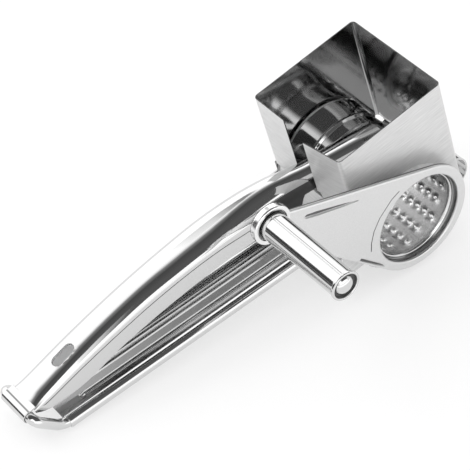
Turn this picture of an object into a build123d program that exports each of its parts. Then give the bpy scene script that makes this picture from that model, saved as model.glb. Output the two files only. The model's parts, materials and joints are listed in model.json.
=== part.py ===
from build123d import *
import math
import os

# All sizes in mm. Working frame: x to the front from the rear wall, y to the far side, z up from the rim.

# Hopper
BOX = 50.0
SHEET = 0.9
BEND = 1.8
FRONT_DEPTH = 46.0
SLOT_HALF = 7.1
SLOT_LOW_HALF = 9.0
SLOT_STEP = -28.0
FLAP_DEPTH = 38.0
FLAP_FLARE = 8.1
WALL_ROUND = 26.0
FOOT_TOP = -43.6

# Strip along the foot of the front wall
LIP_TOP = -44.6
LIP_CHORD = 14.0
LIP_BULGE = 4.2
LIP_T = 0.8
LIP_SHORT = 1.2

# Drum
AX_X = 22.9
AX_Z = -48.9
DRUM_R = 18.85
DRUM_T = 0.6
DRUM_NEAR = -28.9
DRUM_FAR = 27.4
DRUM_STRIPS = 32
TOOTH_WIDE = 2.2
TOOTH_PITCH = 4.05
TOOTH_COUNT = 12
TOOTH_FIRST = -23.6
TOOTH_TURN = 6.875
TOOTH_HIGH = 0.7
HOLE_POINT = -1.3
HOLE_EDGE = 0.9
HOOD_TIP = -0.3
HOOD_LENGTH = 0.8

# Bearing rings of the drum
JOURNAL_R = 19.6
JOURNAL_END = -25.2
RIM_R = 20.1
RIM_BORE = 19.5
RIM_STOP = -27.85
COLLAR_R = 20.4
COLLAR_FLANGE = 21.6
NEAR_SLEEVE = -27.5
NEAR_FLANGE_T = 0.5
FAR_FLANGE_T = 1.0
LOCK_R = 20.3
LOCK_NEAR = 26.25
LOCK_T = 0.9
RUN_GAP = 0.08
HINGE_GAP = 0.13

# Crank
PLATE_Y = -31.0
PLATE_T = 0.9
PLATE_RIM = 0.7
RIM_WIDE = 0.9
MOUTH_R = 19.4
RING_R = 23.4
BOSS_R = 8.1
CUP_WALL = 1.8
CUP_HIGH = 1.4
ARM_DX = -59.2
ARM_DZ = 55.0
ARM_UPPER = 2.8
ARM_LOWER = 6.6
GROOVE_DEEP = 0.45
UPPER_GROOVE = (36.0, 62.0, 4.7)
LOWER_GROOVE = (1.0, 19.0, 2.2)
GROOVE_TAPER = ((0.0, 0.2), (0.3, 0.8), (0.8, 1.2), (0.97, 1.0), (1.0, 0.4))

# Knob
KNOB_R = 5.6
KNOB_LIP = 0.4
LIP_LENGTH = 1.3
KNOB_T = 0.6
KNOB_START = -32.9
KNOB_END = -73.2
BUSH_LENGTH = 9.0
PIN_R = 1.6
PIN_SEAT = 0.9
PIN_DOME = ((3.7, 0.0), (3.3, 0.7), (2.3, 1.3), (0.9, 1.6))
PIN_TAIL_R = 2.9
PIN_TAIL = 0.9
WASHER_T = 0.6
TAIL_WASHER_R = 4.4
WASHER_GAP = 0.2

# Lower handle
HINGE_X = -139.9
HINGE_Z = -26.7
WIRE_R = 2.1
WIRE_IN_TUBE = 36.0
BOW_CORNER = 2.6
BOW_BEND = 4.4
BOW_LEG = 15.2
LEG_DROP = 54.0
TUBE_Y = 10.2
TUBE_R = 2.6
TUBE_START = 0.3
ARM_DROP = 5.9
ARM_LEN = 116.0
ARM_T = 0.6
RIB_Y = 2.7
RIB_R = 1.3
RIB_START = 13.0
RIB_SHORT = 8.0
RIB_TIP = 2.5
RIB_TIP_R = 0.3
RIB_SINK = 0.3

# Cross plate, ears and shield at the front of the lower handle
CROSS_BACK = -16.5
CROSS_FRONT = -4.2
CROSS_Z = -53.7
CROSS_T = 0.9
EAR_Y = 25.0
EAR_T = 0.8
EAR_BACK = -6.0
EAR_FRONT = 1.4
EAR_TOP = -43.6
EAR_LOW = -57.6
EAR_STEP = 3.0
SHIELD_R = 22.6
SHIELD_T = 0.9
SHIELD_TOP = -40.0
SHIELD_GAP = 0.6
EAR_HOLES = ((-1.2, -45.5), (-0.5, -55.6))
RIVET_R = 1.0
RIVET_HEAD = 1.6
HEAD_OUT = 0.7
HEAD_IN = 0.4

# Lever
LEVER_T = 0.9
SIDE_STEP = 0.5
ROLL_POWER = 2.7
ROLL_STEPS = 10
CURL_T = 0.8
CURL_GAP = 0.9
END_HALF = 7.35
STRAP_SHORT = 0.3
HANG_X = -116.7
HANG_LEN = 10.2
HANG_WIDE = 4.8
NECK_R = 12.2
NECK_X = 1.5
NECK_Z = -34.4
NECK_FRONT = 8.0
NECK_LOW = -38.0

# Presser
PRESS_IN = 20.2
PRESS_T = 0.8
PRESS_HALF = 23.2
PRESS_FRONT = 32.0
PRESS_REAR = 149.0
PRESS_RIB_Y = 12.2
PRESS_RIB_HALF = 1.2
PRESS_RIB = 0.7
PRESS_GROOVE = 0.3

# Round pieces are drawn with this many flat sides, so that their facets stay few
SIDES_LARGE = 48
SIDES_MIDDLE = 32
SIDES_SMALL = 12
LARGE_R = 15.0
MIDDLE_R = 4.0

# A length that is longer than any piece that it cuts
PAST = 60.0

# Worked out: the inner face of the side walls, the crank plate's outer face and the knob's axis
WALL_IN = BOX / 2 - SHEET
PLATE_OUT = PLATE_Y - PLATE_T
KNOB_X = AX_X + ARM_DX
KNOB_Z = AX_Z + ARM_DZ
CRANK_LEAN = math.atan2(ARM_DZ, ARM_DX)

# The wire slants down from the hinge and bends into the direction of the tubes
DROP = math.radians(ARM_DROP)
SLANT = math.radians(LEG_DROP)
KNEE = BOW_BEND * math.tan((SLANT - DROP) / 2)
TUBE_X = HINGE_X + BOW_LEG * math.cos(SLANT) + KNEE * math.cos(DROP)
TUBE_Z = HINGE_Z - BOW_LEG * math.sin(SLANT) - KNEE * math.sin(DROP)

# Lever stations: x, top, half width, depth of the upper roll, depth of the whole side
STATIONS = [
    (-137.0, -24.3, 7.35, 1.8, 3.2),
    (-133.5, -23.3, 7.35, 2.9, 6.6),
    (-128.0, -22.0, 7.4, 3.4, 9.4),
    (-121.0, -20.3, 7.45, 3.7, 11.6),
    (-113.0, -18.5, 7.5, 4.0, 12.9),
    (-98.0, -15.8, 7.6, 4.5, 12.6),
    (-80.0, -13.5, 7.7, 4.8, 13.2),
    (-62.0, -12.6, 8.0, 4.8, 13.3),
    (-48.0, -12.3, 8.3, 5.4, 13.7),
    (-36.0, -12.3, 8.4, 7.0, 14.5),
    (-26.0, -13.0, 8.2, 7.8, 15.0),
    (-16.0, -14.8, 7.5, 8.0, 15.0),
    (-8.0, -17.4, 6.7, 7.6, 14.5),
    (1.0, -20.4, 6.2, 6.5, 14.0),
    (12.0, -23.0, 6.0, 5.0, 13.0),
    (24.0, -25.6, 5.8, 3.8, 12.0),
    (33.5, -28.2, 5.6, 3.4, 11.0),
]


def disc(radius):
    """Round outline with flat sides, more of them where it is large."""
    if radius > LARGE_R:
        return RegularPolygon(radius, SIDES_LARGE)
    if radius > MIDDLE_R:
        return RegularPolygon(radius, SIDES_MIDDLE)
    return RegularPolygon(radius, SIDES_SMALL)


def y_rod(radius, y0, y1, x, z):
    """Round bar along y from y0 to y1."""
    return Location((x, y0, z)) * Rotation(-90, 0, 0) * extrude(disc(radius), amount=y1 - y0)


def y_ring(r_out, r_in, y0, y1, x, z):
    """Ring about the y direction."""
    return y_rod(r_out, y0, y1, x, z) - y_rod(r_in, y0 - 1, y1 + 1, x, z)


def x_rod(radius, x0, x1, y, z):
    """Round bar along x from x0 to x1."""
    return Location((x0, y, z)) * Rotation(0, 90, 0) * extrude(disc(radius), amount=x1 - x0)


def y_slab(points, y0, y1):
    """Flat outline in x and z, carried along y."""
    face = make_face(Polyline(*[(x, 0, z) for x, z in points], close=True))
    body = extrude(face, amount=y1 - y0, dir=(0, 1, 0))
    return Location((0, y0, 0)) * body


def block(x0, x1, y0, y1, z0, z1):
    """Box between limits."""
    body = Box(x1 - x0, y1 - y0, z1 - z0, align=(Align.MIN, Align.MIN, Align.MIN))
    return Location((x0, y0, z0)) * body


def side_wall(y0, y1):
    """One side wall: a square top and a round foot about the drum."""
    wall = block(0, BOX - BEND, y0, y1, AX_Z, 0) + y_rod(WALL_ROUND, y0, y1, AX_X, AX_Z)
    wall = wall - block(-PAST, BEND, y0, y1, -FLAP_DEPTH, 0)
    return wall - block(-PAST, 0, y0, y1, FOOT_TOP, 0)


def rear_flap(side, flare):
    """One rear flap, from the bend of the side wall to the slot, turned out a little about the bend."""
    start = BOX / 2 - BEND + 0.3
    flap = block(0, SHEET, SLOT_HALF - start, 0, -FLAP_DEPTH, 0)
    step = block(-1, SHEET + 1, SLOT_HALF - start - 1, SLOT_LOW_HALF - start, -FLAP_DEPTH - 1, SLOT_STEP)
    flap = Location((0, start, 0), (0, 0, -flare)) * (flap - step)
    return flap if side > 0 else mirror(flap, about=Plane.XZ)


def hopper_shell():
    half = BOX / 2
    with BuildSketch() as plan:
        with Locations((half, 0)):
            RectangleRounded(BOX, BOX, BEND)
            RectangleRounded(BOX - 2 * SHEET, BOX - 2 * SHEET, BEND - SHEET, mode=Mode.SUBTRACT)
    body = extrude(plan.sketch, amount=-FRONT_DEPTH)
    # The front wall and the sides stay at full depth, the rear has two shorter flaps
    body = body - block(-1, BEND, -half + BEND, half - BEND, -PAST, 1)
    body = body - block(-1, BEND, -half - 1, half + 1, -PAST, -FLAP_DEPTH)
    body = body + side_wall(-half, -WALL_IN) + side_wall(WALL_IN, half)
    body = body + rear_flap(1, 0.0) + rear_flap(-1, FLAP_FLARE)
    # The bearing holes and the rivet holes go through both side walls
    body = body - y_rod(COLLAR_R, -PAST, PAST, AX_X, AX_Z)
    for x, z in EAR_HOLES:
        body = body - y_rod(RIVET_R, -PAST, PAST, x, z)
    return body


def front_lip():
    # Rounded strip, seen from its end as a slice of a circle that bulges to the front
    half = BOX / 2 - LIP_SHORT
    radius = (LIP_CHORD ** 2 / 4 + LIP_BULGE ** 2) / (2 * LIP_BULGE)
    ring = y_ring(radius, radius - LIP_T, -half, half, BOX + LIP_BULGE - radius, LIP_TOP - LIP_CHORD / 2)
    return ring & block(BOX, BOX + PAST, -half, half, LIP_TOP - LIP_CHORD, LIP_TOP)


def near_collar():
    # Pushed through the wall from inside, so that only its thin sleeve stands out under the crank
    bore = JOURNAL_R + RUN_GAP
    body = y_ring(COLLAR_R, bore, NEAR_SLEEVE, -WALL_IN, AX_X, AX_Z)
    return body + y_ring(COLLAR_FLANGE, bore, -WALL_IN, -WALL_IN + NEAR_FLANGE_T, AX_X, AX_Z)


def far_collar():
    bore = DRUM_R + RUN_GAP
    face = BOX / 2
    body = y_ring(COLLAR_R, bore, WALL_IN, face, AX_X, AX_Z)
    return body + y_ring(COLLAR_FLANGE, bore, face, face + FAR_FLANGE_T, AX_X, AX_Z)


def arm_place(shape):
    """From the frame of the handle, x along its tubes, to the working frame."""
    return Location((TUBE_X, 0, TUBE_Z), (0, ARM_DROP, 0)) * shape


def tray_rib(y, middle):
    """Pressed rib of the tray: a bar with a pointed rear end, and the hollow under it."""
    bar = x_rod(RIB_R, RIB_START, ARM_LEN - RIB_SHORT, y, middle)
    ends = [(RIB_START - RIB_TIP, RIB_TIP_R), (RIB_START, RIB_R)]
    sections = [Plane(origin=(x, y, middle), x_dir=(0, 0, -1), z_dir=(1, 0, 0)) * disc(r) for x, r in ends]
    tip = loft(sections, ruled=True)
    hollow = x_rod(RIB_R - ARM_T, RIB_START, ARM_LEN - RIB_SHORT - ARM_T, y, middle)
    return bar + tip, hollow


def arm_shell():
    floor_low = -TUBE_R
    floor_top = floor_low + ARM_T
    tray = block(TUBE_START + 1, ARM_LEN + 1, -TUBE_Y, TUBE_Y, floor_low, floor_top)
    over_floor = block(0, ARM_LEN, -TUBE_Y, TUBE_Y, floor_low, TUBE_R)
    for y in (-RIB_Y, RIB_Y):
        rib, hollow = tray_rib(y, floor_top - RIB_SINK)
        tray = tray + (rib & over_floor) - hollow
    for y in (-TUBE_Y, TUBE_Y):
        tray = tray + x_rod(TUBE_R, TUBE_START, ARM_LEN, y, 0)
    for y in (-TUBE_Y, TUBE_Y):
        tray = tray - x_rod(WIRE_R, TUBE_START - 1, ARM_LEN + 1, y, 0)
    return arm_place(tray) + cross_plate()


def cross_plate():
    # A plate with ears round the outside of the hopper, and a shield that rises behind the drum
    wide = EAR_Y + EAR_T
    inner = WALL_IN - SHIELD_GAP
    low = CROSS_Z - CROSS_T
    shield = y_ring(SHIELD_R + SHIELD_T, SHIELD_R, -inner, inner, AX_X, AX_Z)
    x_shield = AX_X - math.sqrt(SHIELD_R ** 2 - (AX_Z - low) ** 2)
    body = block(CROSS_BACK, CROSS_FRONT, -wide, wide, low, CROSS_Z)
    body = body + block(CROSS_FRONT, x_shield, -inner, inner, low, CROSS_Z)
    body = body + (shield & block(-PAST, AX_X, -inner, inner, low, SHIELD_TOP))
    outline = [(CROSS_BACK, low), (CROSS_BACK, CROSS_Z + EAR_STEP), (EAR_BACK, EAR_TOP),
               (EAR_FRONT, EAR_TOP), (EAR_FRONT, EAR_LOW), (EAR_BACK, EAR_LOW)]
    for y0 in (-wide, EAR_Y):
        ear = y_slab(outline, y0, y0 + EAR_T) - y_rod(SHIELD_R, y0, y0 + EAR_T, AX_X, AX_Z)
        for x, z in EAR_HOLES:
            ear = ear - y_rod(RIVET_R, y0, y0 + EAR_T, x, z)
        body = body + ear
    return body


def ear_rivet(side, place):
    x, z = place
    outside = EAR_Y + EAR_T
    body = y_rod(RIVET_HEAD, WALL_IN - HEAD_IN, WALL_IN, x, z) + y_rod(RIVET_R, WALL_IN, outside, x, z)
    body = body + y_rod(RIVET_HEAD, outside, outside + HEAD_OUT, x, z)
    return body if side > 0 else mirror(body, about=Plane.XZ)


def elbow(centre, axis, at, turn):
    """Bend of the wire: its section, standing at a point, turned about an axis."""
    out = Vector(*at) - Vector(*centre)
    face = Plane(origin=at, x_dir=axis, z_dir=Vector(*axis).cross(out)) * disc(WIRE_R)
    return revolve(face, axis=Axis(centre, axis), revolution_arc=turn)


def straight(p, q, side):
    """Straight piece of the wire, with the flat sides of its section set by a direction across it."""
    line = Vector(*q) - Vector(*p)
    return extrude(Plane(origin=p, x_dir=side, z_dir=line) * disc(WIRE_R), amount=line.length)


def wire_bow():
    half = TUBE_Y - BOW_CORNER
    dx, dz = math.cos(SLANT), -math.sin(SLANT)
    tx, tz = math.cos(DROP), -math.sin(DROP)
    leg = BOW_LEG - KNEE
    y = -TUBE_Y
    across = (-dz, 0, dx)
    along_y = (0, 1, 0)
    corner = (HINGE_X + BOW_CORNER * dx, y, HINGE_Z + BOW_CORNER * dz)
    knee = (HINGE_X + leg * dx, y, HINGE_Z + leg * dz)
    tube = (TUBE_X, y, TUBE_Z)
    end = (TUBE_X + WIRE_IN_TUBE * tx, y, TUBE_Z + WIRE_IN_TUBE * tz)
    corner_hub = (corner[0], -half, corner[2])
    knee_hub = (TUBE_X - BOW_BEND * tz, y, TUBE_Z + BOW_BEND * tx)
    side = elbow(corner_hub, across, (HINGE_X, -half, HINGE_Z), 90)
    side = side + straight(corner, knee, along_y)
    side = side + elbow(knee_hub, (0, -1, 0), knee, LEG_DROP - ARM_DROP)
    side = side + straight(tube, end, along_y)
    bar = straight((HINGE_X, -half, HINGE_Z), (HINGE_X, half, HINGE_Z), across)
    return bar + side + mirror(side, about=Plane.XZ)


def roll_points(w, low, top):
    """Points of a soft arch from one side to the other."""
    points = []
    for i in range(ROLL_STEPS + 1):
        a = math.pi * (1 - i / ROLL_STEPS)
        c = math.cos(a)
        s = math.sin(a)
        y = w * math.copysign(abs(c) ** (2 / ROLL_POWER), c)
        z = low + (top - low) * abs(s) ** (2 / ROLL_POWER)
        points.append((y, z))
    return points


def lever_section(x, top, w, d_roll, d_side):
    """Channel section: a soft arch on two straight sides that stand a small step inside it."""
    z_roll = top - d_roll
    z_low = top - d_side
    w_side = w - SIDE_STEP
    w_in = w_side - LEVER_T
    outer = roll_points(w, z_roll, top)
    inner = roll_points(w_in, z_roll, top - LEVER_T)
    ring = outer + [(w_side, z_roll), (w_side, z_low), (w_in, z_low)] + inner[::-1]
    ring = ring + [(-w_in, z_low), (-w_side, z_low), (-w_side, z_roll)]
    return make_face(Polyline(*[(x, y, z) for y, z in ring], close=True))


def hinge_curl():
    """Rear end of the lever, rolled round the cross-bar of the wire."""
    r_in = WIRE_R + HINGE_GAP
    r_out = r_in + CURL_T
    curl = y_ring(r_out, r_in, -END_HALF, END_HALF, HINGE_X, HINGE_Z)
    curl = curl - block(HINGE_X + CURL_GAP, HINGE_X + PAST, -PAST, PAST, HINGE_Z - PAST, HINGE_Z + r_in)
    z_top = HINGE_Z + r_out
    end_x = STATIONS[0][0] + 0.5
    end_z = STATIONS[0][1] + 0.1
    half = END_HALF - STRAP_SHORT
    strap = [(HINGE_X, z_top), (HINGE_X, z_top - CURL_T), (end_x, end_z - CURL_T), (end_x, end_z)]
    return curl + y_slab(strap, -half, half)


def lever_shell():
    body = loft([lever_section(*s) for s in STATIONS], ruled=True) + hinge_curl()
    slot = Location((HANG_X, 0, -PAST)) * extrude(SlotOverall(HANG_LEN, HANG_WIDE), amount=PAST)
    body = body - slot
    # The sides are cut away in an arch at the neck and fit the round of the presser in front of it
    body = body - y_rod(NECK_R, -PAST, PAST, NECK_X, NECK_Z)
    body = body - y_rod(PRESS_IN + PRESS_T, -PAST, PAST, AX_X, AX_Z)
    return body - block(NECK_FRONT, PAST, -PAST, PAST, -PAST, NECK_LOW)


def presser_plate():
    r_out = PRESS_IN + PRESS_T
    body = y_ring(r_out, PRESS_IN, -PRESS_HALF, PRESS_HALF, AX_X, AX_Z)
    for y in (-PRESS_RIB_Y, PRESS_RIB_Y):
        near = y - PRESS_RIB_HALF
        far = y + PRESS_RIB_HALF
        body = body + y_ring(r_out + PRESS_RIB, PRESS_IN + PRESS_GROOVE, near, far, AX_X, AX_Z)
    sector = [(AX_X, AX_Z)]
    for share in (0, 0.25, 0.5, 0.75, 1):
        a = math.radians(PRESS_FRONT + (PRESS_REAR - PRESS_FRONT) * share)
        sector.append((AX_X + PAST * math.cos(a), AX_Z + PAST * math.sin(a)))
    return body & y_slab(sector, -PRESS_HALF, PRESS_HALF)


def drum_bar(radius, y0, y1):
    """Bar with the section of the drum, whose sheet is rolled in narrow flat strips."""
    face = RegularPolygon(radius, DRUM_STRIPS, rotation=-TOOTH_TURN)
    return Location((0, y1, 0)) * Rotation(90, 0, 0) * extrude(face, amount=y1 - y0)


def tooth_parts():
    """One raised tooth and its three-cornered hole, on a flat strip of the drum at the top."""
    flat = DRUM_R * math.cos(math.pi / DRUM_STRIPS)
    half = TOOTH_WIDE / 2
    hole = make_face(Polyline((HOLE_POINT, 0), (HOLE_EDGE, half), (HOLE_EDGE, -half), close=True))
    cut = Location((0, 0, flat - 2 * DRUM_T)) * extrude(hole, amount=3 * DRUM_T)
    wedge = [(HOLE_EDGE + HOOD_LENGTH, flat), (HOOD_TIP, flat + TOOTH_HIGH), (HOLE_EDGE, flat)]
    return cut, y_slab(wedge, -half, half)


def grating_drum():
    # Every second strip carries a row of teeth, and each row is half a pitch out of step with the last
    tube = drum_bar(DRUM_R, DRUM_NEAR, DRUM_FAR) - drum_bar(DRUM_R - DRUM_T, DRUM_NEAR, DRUM_FAR)
    cut, hood = tooth_parts()
    cuts = []
    hoods = []
    for row in range(DRUM_STRIPS // 2):
        odd = row % 2
        turn = Rotation(0, (2 * row + 0.5) * 360.0 / DRUM_STRIPS + TOOTH_TURN, 0)
        for k in range(TOOTH_COUNT - odd):
            at = turn * Location((0, TOOTH_FIRST + (k + odd / 2) * TOOTH_PITCH, 0))
            cuts.append(at * cut)
            hoods.append(at * hood)
    body = tube.cut(*cuts).fuse(*hoods)
    return Location((AX_X, 0, AX_Z)) * body


def drum_rim():
    # A short sleeve behind the mouth, narrowed to the drum, with a stop in front of the collar
    narrow = y_rod(RIM_R, DRUM_NEAR, RIM_STOP, AX_X, AX_Z)
    narrow = narrow + y_rod(JOURNAL_R, RIM_STOP, JOURNAL_END, AX_X, AX_Z)
    narrow = narrow - Location((AX_X, 0, AX_Z)) * drum_bar(DRUM_R, DRUM_NEAR, JOURNAL_END)
    return y_ring(RIM_R, RIM_BORE, PLATE_Y, DRUM_NEAR, AX_X, AX_Z) + narrow


def drum_lock_ring():
    ring = y_rod(LOCK_R, LOCK_NEAR, LOCK_NEAR + LOCK_T, AX_X, AX_Z)
    return ring - Location((AX_X, 0, AX_Z)) * drum_bar(DRUM_R, DRUM_NEAR, DRUM_FAR)


def edge_direction(sign, half):
    """Direction square to one straight edge of the crank, which passes the knob at a given distance."""
    turn = math.asin((RING_R - half) / math.hypot(ARM_DX, ARM_DZ))
    return CRANK_LEAN + sign * (math.pi / 2 - turn)


def drop_slab(grow, y0, y1):
    """Teardrop of the crank plate, grown or shrunk: a ring, a cup and two straight edges."""
    big = RING_R + grow
    sketch = disc(big) + Location((ARM_DX, ARM_DZ)) * disc(BOSS_R + grow)
    edges = []
    for sign, half in ((-1, ARM_UPPER), (1, ARM_LOWER)):
        a = edge_direction(sign, half)
        near = half + grow
        at_ring = (big * math.cos(a), big * math.sin(a))
        at_cup = (ARM_DX + near * math.cos(a), ARM_DZ + near * math.sin(a))
        edges.append((at_ring, at_cup))
    quad = [edges[0][0], edges[0][1], edges[1][1], edges[1][0]]
    sketch = sketch + make_face(Polyline(*quad, close=True))
    # The sketch plane is laid so that its y is the working z and its normal is minus y
    return Location((AX_X, y1, AX_Z)) * Rotation(90, 0, 0) * extrude(sketch, amount=y1 - y0)


def groove(sign, half, place):
    """Long tapered groove beside one edge of the crank plate."""
    start, stop, inset = place
    a = edge_direction(sign, half)
    nx, nz = math.cos(a), math.sin(a)
    ux, uz = sign * nz, -sign * nx
    middle = RING_R - inset
    upper = [(start + share * (stop - start), middle + wide) for share, wide in GROOVE_TAPER]
    lower = [(s, 2 * middle - n) for s, n in reversed(upper)]
    points = [(AX_X + s * ux + n * nx, AX_Z + s * uz + n * nz) for s, n in upper + lower]
    return y_slab(points, PLATE_OUT - 1, PLATE_OUT + GROOVE_DEEP)


def crank_plate():
    rim = PLATE_Y + PLATE_RIM
    body = drop_slab(0, PLATE_OUT, rim) - drop_slab(-RIM_WIDE, PLATE_Y, rim)
    body = body - y_rod(MOUTH_R, PLATE_OUT, rim, AX_X, AX_Z)
    body = body + y_ring(BOSS_R, BOSS_R - CUP_WALL, PLATE_OUT - CUP_HIGH, PLATE_OUT, KNOB_X, KNOB_Z)
    body = body - y_rod(PIN_R, PLATE_OUT, PLATE_Y, KNOB_X, KNOB_Z)
    return body - groove(-1, ARM_UPPER, UPPER_GROOVE) - groove(1, ARM_LOWER, LOWER_GROOVE)


def knob_washer():
    radius = BOSS_R - CUP_WALL - WASHER_GAP
    return y_ring(radius, PIN_R, PLATE_OUT - WASHER_T, PLATE_OUT, KNOB_X, KNOB_Z)


def pin_washer():
    return y_ring(TAIL_WASHER_R, PIN_R, PLATE_Y, PLATE_Y + WASHER_T, KNOB_X, KNOB_Z)


def knob_pin():
    tail = PLATE_Y + WASHER_T
    seat = KNOB_END + PIN_SEAT
    body = y_rod(PIN_R, seat, tail, KNOB_X, KNOB_Z) + y_rod(PIN_TAIL_R, tail, tail + PIN_TAIL, KNOB_X, KNOB_Z)
    rings = []
    for radius, high in PIN_DOME:
        plane = Plane(origin=(KNOB_X, seat - high, KNOB_Z), x_dir=(1, 0, 0), z_dir=(0, -1, 0))
        rings.append(plane * RegularPolygon(radius, SIDES_SMALL))
    return body + loft(rings, ruled=True)


def knob_sleeve():
    bore = KNOB_R - KNOB_T
    body = y_ring(KNOB_R, bore, KNOB_END, KNOB_START, KNOB_X, KNOB_Z)
    return body + y_ring(KNOB_R + KNOB_LIP, bore, KNOB_END, KNOB_END + LIP_LENGTH, KNOB_X, KNOB_Z)


def knob_bush(y0, y1):
    return y_ring(KNOB_R - KNOB_T, PIN_R + RUN_GAP, y0, y1, KNOB_X, KNOB_Z)


def on_table(nodes):
    """Lays the grater on a table, where it stands on its round feet and on the rear ends of the tubes."""
    tube_x = TUBE_X + TUBE_START * math.cos(DROP) - TUBE_R * math.sin(DROP)
    tube_z = TUBE_Z - TUBE_START * math.sin(DROP) - TUBE_R * math.cos(DROP)
    gap_x = AX_X - tube_x
    gap_z = AX_Z - tube_z
    fall = math.degrees(math.atan2(-gap_z, gap_x) + math.asin(WALL_ROUND / math.hypot(gap_x, gap_z)))
    turned = {name: Rotation(0, -fall, 0) * shape for name, shape in nodes.items()}
    boxes = [shape.bounding_box() for shape in turned.values()]
    x_mid = (min(b.min.X for b in boxes) + max(b.max.X for b in boxes)) / 2
    y_mid = (min(b.min.Y for b in boxes) + max(b.max.Y for b in boxes)) / 2
    z_low = min(b.min.Z for b in boxes)
    print("lean", fall, "shift", -x_mid, -y_mid, -z_low)
    return {name: Location((-x_mid, -y_mid, -z_low)) * shape for name, shape in turned.items()}


def build():
    return on_table({
        "hopper_shell": hopper_shell(),
        "front_lip": front_lip(),
        "near_collar": near_collar(),
        "far_collar": far_collar(),
        "arm_shell": arm_shell(),
        "wire_bow": wire_bow(),
        "ear_rivet_near_top": ear_rivet(-1, EAR_HOLES[0]),
        "ear_rivet_near_low": ear_rivet(-1, EAR_HOLES[1]),
        "ear_rivet_far_top": ear_rivet(1, EAR_HOLES[0]),
        "ear_rivet_far_low": ear_rivet(1, EAR_HOLES[1]),
        "lever_shell": lever_shell(),
        "presser_plate": presser_plate(),
        "grating_drum": grating_drum(),
        "drum_rim": drum_rim(),
        "drum_lock_ring": drum_lock_ring(),
        "crank_plate": crank_plate(),
        "knob_washer": knob_washer(),
        "pin_washer": pin_washer(),
        "knob_pin": knob_pin(),
        "knob_sleeve": knob_sleeve(),
        "knob_bush_inner": knob_bush(KNOB_START - BUSH_LENGTH, KNOB_START),
        "knob_bush_outer": knob_bush(KNOB_END + LIP_LENGTH, KNOB_END + LIP_LENGTH + BUSH_LENGTH),
    })


os.makedirs("parts", exist_ok=True)
for name, shape in build().items():
    solids = shape.solids()
    print(name, "solids", len(solids), "volume", round(shape.volume, 2))
    export_step(shape if len(solids) != 1 else solids[0], "parts/" + name + ".step")
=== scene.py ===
import json
from math import acos, asin, atan2, copysign, cos, degrees, hypot, inf, pi, radians, sin, sqrt, tan

import bmesh
import bpy
from mathutils import Matrix, Vector
from mathutils.geometry import delaunay_2d_cdt


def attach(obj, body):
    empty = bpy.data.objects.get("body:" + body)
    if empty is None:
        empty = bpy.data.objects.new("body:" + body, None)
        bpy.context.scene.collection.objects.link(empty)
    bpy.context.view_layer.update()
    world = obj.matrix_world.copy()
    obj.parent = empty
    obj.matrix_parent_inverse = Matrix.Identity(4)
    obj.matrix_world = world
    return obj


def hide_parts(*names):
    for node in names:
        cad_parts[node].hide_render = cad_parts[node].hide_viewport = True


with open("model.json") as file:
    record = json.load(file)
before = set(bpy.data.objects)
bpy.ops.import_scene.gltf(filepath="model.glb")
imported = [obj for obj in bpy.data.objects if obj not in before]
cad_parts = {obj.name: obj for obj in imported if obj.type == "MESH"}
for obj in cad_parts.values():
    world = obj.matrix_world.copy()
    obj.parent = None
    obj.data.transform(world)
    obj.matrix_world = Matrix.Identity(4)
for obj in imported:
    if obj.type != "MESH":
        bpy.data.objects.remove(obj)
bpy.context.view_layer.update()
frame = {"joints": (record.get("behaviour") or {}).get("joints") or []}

# Camera: aim and distance (m), direction and roll (degrees), lens and sensor (mm), nearest sight (m)
AIM = (-0.00369, 0.01167, 0.04787)
DISTANCE = 0.7993
AZIMUTH = -34.79
ELEVATION = 43.54
ROLL = 4.34
LENS = 168.5
SENSOR = 36.0
CLIP_START = 0.01

# Pieces are drawn in mm in a working frame:
# x to the front from the rear wall, y to the far side, z up from the rim
MM = 0.001

# Meshes: distances of joined points, angles (degrees), steps of rounds, and widths of edges
WELD = 0.001
TOUCH = 1e-5
KEY_DIGITS = 3
EDGE_STEPS = 3
EDGE_ANGLE = 50
EDGE_WEIGHT = 80
SHARP_ANGLE = 35
CORNER_SHARE = 0.45
FEW_STEPS = 4
BEND_STEPS = 8
CURVE_STEPS = 12
LONG_STEPS = 24
WRAP_STEPS = 40
PART_STEPS = 48
ROUND_STEPS = 96
FINE_STEPS = 128
FINE_EDGE = 0.1
THIN_EDGE = 0.15
SOFT_EDGE = 0.2
ROUND_EDGE = 0.3

# Places of the inside and edge finishes, and of the painted shade, among the materials of a sheet
INSIDE_FINISH = 1
EDGE_FINISH = 2
PAINTED_SHADE = 3

# Hopper
BOX = 50.0
SHEET = 0.9
SHEET_SEEN = 0.4
BEND = 1.8
FRONT_DEPTH = 54.0
SLOT_HALF = 7.1
SLOT_LOW_HALF = 9.0
SLOT_STEP = -28.0
FLAP_DEPTH = 38.0
FLAP_FLARE = radians(8.1)
WALL_ROUND = 26.0
FOOT_TOP = -43.6
PART_GAP = 0.1

# Strip along the foot of the front wall
LIP_TOP = -44.6
LIP_CHORD = 14.0
LIP_BULGE = 4.2
LIP_T = 0.8
LIP_SHORT = 1.2

# Drum
AX_X = 22.9
AX_Z = -48.9
DRUM_R = 18.85
DRUM_T = 0.6
DRUM_NEAR = -28.9
DRUM_FAR = 27.4
TOOTH_ROWS = 16
TOOTH_PITCH = 4.05
TOOTH_COUNT = 12
TOOTH_FIRST = -23.6
TOOTH_TURN = radians(12.5)
TOOTH_R = 1.35
TOOTH_HIGH = 0.75
TOOTH_POWER = 1.2
TOOTH_BACK = -0.01
TOOTH_CLEAR = 0.2
TOOTH_MID = 0.6
TOOTH_MID_FIRST = -0.4
TOOTH_MID_STEPS = 5
HOLE_R = 1.15
HOLE_SHARE = 0.97
CHORD_STEPS = 3
GRID_AROUND = 64
GRID_ALONG = 27
GRID_INSET = 2.0
GRID_REACH = 54.0
DRUM_RUN = 2 * pi * DRUM_R
ROW_PITCH = DRUM_RUN / TOOTH_ROWS

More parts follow.
